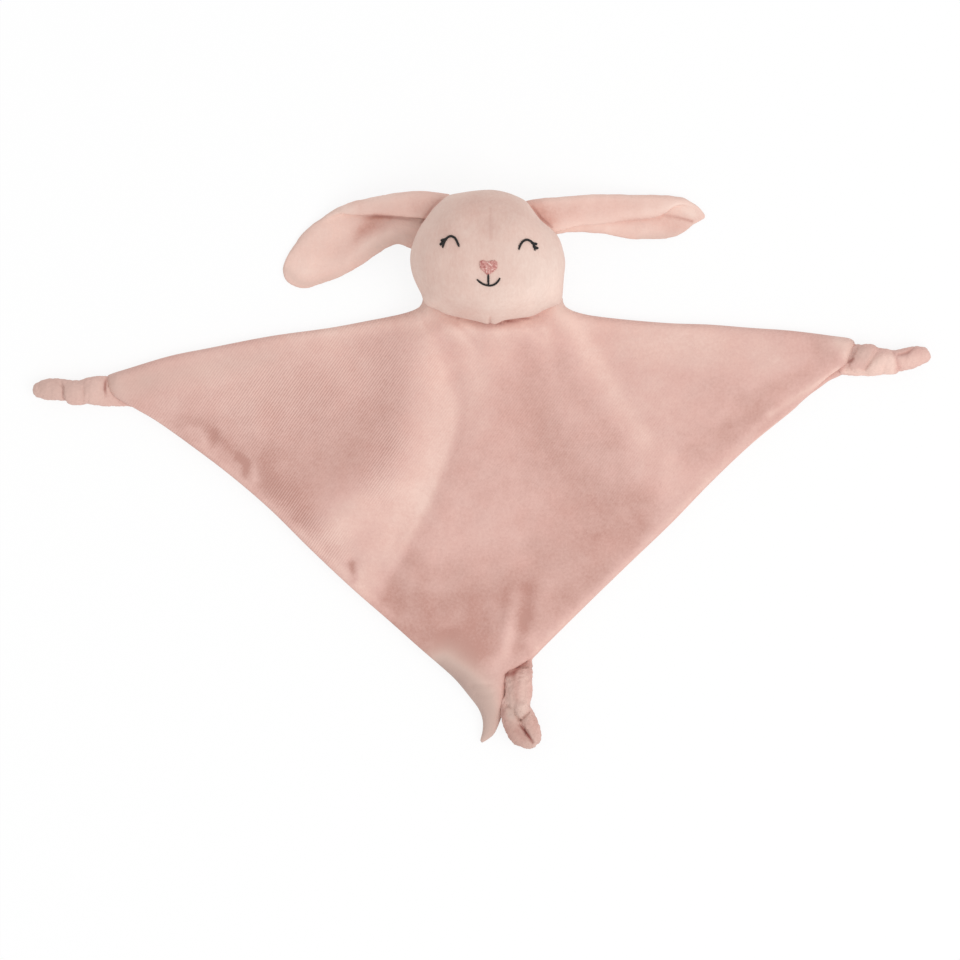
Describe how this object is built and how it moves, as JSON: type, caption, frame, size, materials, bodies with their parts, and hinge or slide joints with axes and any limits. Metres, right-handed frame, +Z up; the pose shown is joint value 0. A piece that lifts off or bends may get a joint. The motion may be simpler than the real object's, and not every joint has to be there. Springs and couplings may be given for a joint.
{
  "type": "comfort blanket",
  "caption": "Baby's comfort blanket: a folded velour cloth with knotted corners and a stuffed rabbit head with long folded ears, lying flat",
  "frame": {"origin": "On the surface that the blanket lies on, under the neck, where the head is sewn to the middle of the fold", "axes": "+X to the viewer's right along the line from knot to knot, +Y from the neck to the crown of the head, +Z up from the surface"},
  "size_m": [0.448, 0.2795, 0.056],
  "materials": {
    "cloth_velour": "dusty pink short-pile velour with fine ribs and a brushed, mottled nap",
    "lining_velour": "dusty pink short-pile velour",
    "head_velour": "pale beige pink short-pile velour",
    "ear_velour": "pale pink short-pile velour",
    "dark_thread": "charcoal embroidery thread with a slight sheen",
    "rose_thread": "dusty rose satin stitch",
    "sewing_thread": "matt sewing thread",
    "filling": "white fibre filling"
  },
  "bodies": {
    "yoke": {"yoke_outer": "cloth_velour", "yoke_lining": "lining_velour", "neck_gather": "lining_velour", "neck_thread": "sewing_thread"},
    "head": {"head_face_left": "head_velour", "head_face_right": "head_velour", "head_back": "head_velour", "head_stuffing": "filling", "left_eye": "dark_thread", "right_eye": "dark_thread", "mouth": "dark_thread", "nose": "rose_thread"},
    "left_ear": {"left_ear_back": "ear_velour", "left_ear_front": "ear_velour"},
    "right_ear": {"right_ear_back": "ear_velour", "right_ear_front": "ear_velour"},
    "front_flap": {"front_flap_outer": "cloth_velour", "front_flap_lining": "lining_velour"},
    "rear_flap": {"rear_flap_lining": "lining_velour", "rear_flap_outer": "cloth_velour"},
    "left_knot": {"left_knot": "cloth_velour"},
    "right_knot": {"right_knot": "cloth_velour"},
    "rear_knot": {"rear_knot": "cloth_velour"},
    "front_corner": {"front_corner": "cloth_velour"}
  },
  "joints": [
    {"name": "head_nod", "type": "hinge", "parent": "yoke", "child": "head", "pos_m": [0, -0.003, 0.022], "axis": [1, 0, 0], "range_deg": [0, 60]},
    {"name": "left_ear_lift", "type": "hinge", "parent": "head", "child": "left_ear", "pos_m": [-0.02, 0.055, 0.033], "axis": [0, 1, 0], "range_deg": [0, 60]},
    {"name": "right_ear_lift", "type": "hinge", "parent": "head", "child": "right_ear", "pos_m": [0.018, 0.05, 0.033], "axis": [0, -1, 0], "range_deg": [0, 70]},
    {"name": "front_flap_lift", "type": "hinge", "parent": "yoke", "child": "front_flap", "pos_m": [0, -0.02603, 0.018], "axis": [-0.9985, -0.055, 0], "range_deg": [0, 75]},
    {"name": "rear_flap_drop", "type": "hinge", "parent": "yoke", "child": "rear_flap", "pos_m": [0, -0.02603, 0], "axis": [-0.9985, -0.055, 0], "range_deg": [-80, 0]},
    {"name": "left_knot_lift", "type": "hinge", "parent": "yoke", "child": "left_knot", "pos_m": [-0.19, -0.0357, 0.0103], "axis": [0, 1, 0], "range_deg": [0, 70]},
    {"name": "right_knot_lift", "type": "hinge", "parent": "yoke", "child": "right_knot", "pos_m": [0.182, -0.0195, 0.0103], "axis": [0, -1, 0], "range_deg": [0, 70]},
    {"name": "rear_knot_lift", "type": "hinge", "parent": "rear_flap", "child": "rear_knot", "pos_m": [0.0148, -0.176, 0.0095], "axis": [-1, 0, 0], "range_deg": [0, 60]},
    {"name": "front_corner_lift", "type": "hinge", "parent": "front_flap", "child": "front_corner", "pos_m": [-0.00795, -0.176, 0.01], "axis": [-1, 0, 0], "range_deg": [0, 70]}
  ]
}
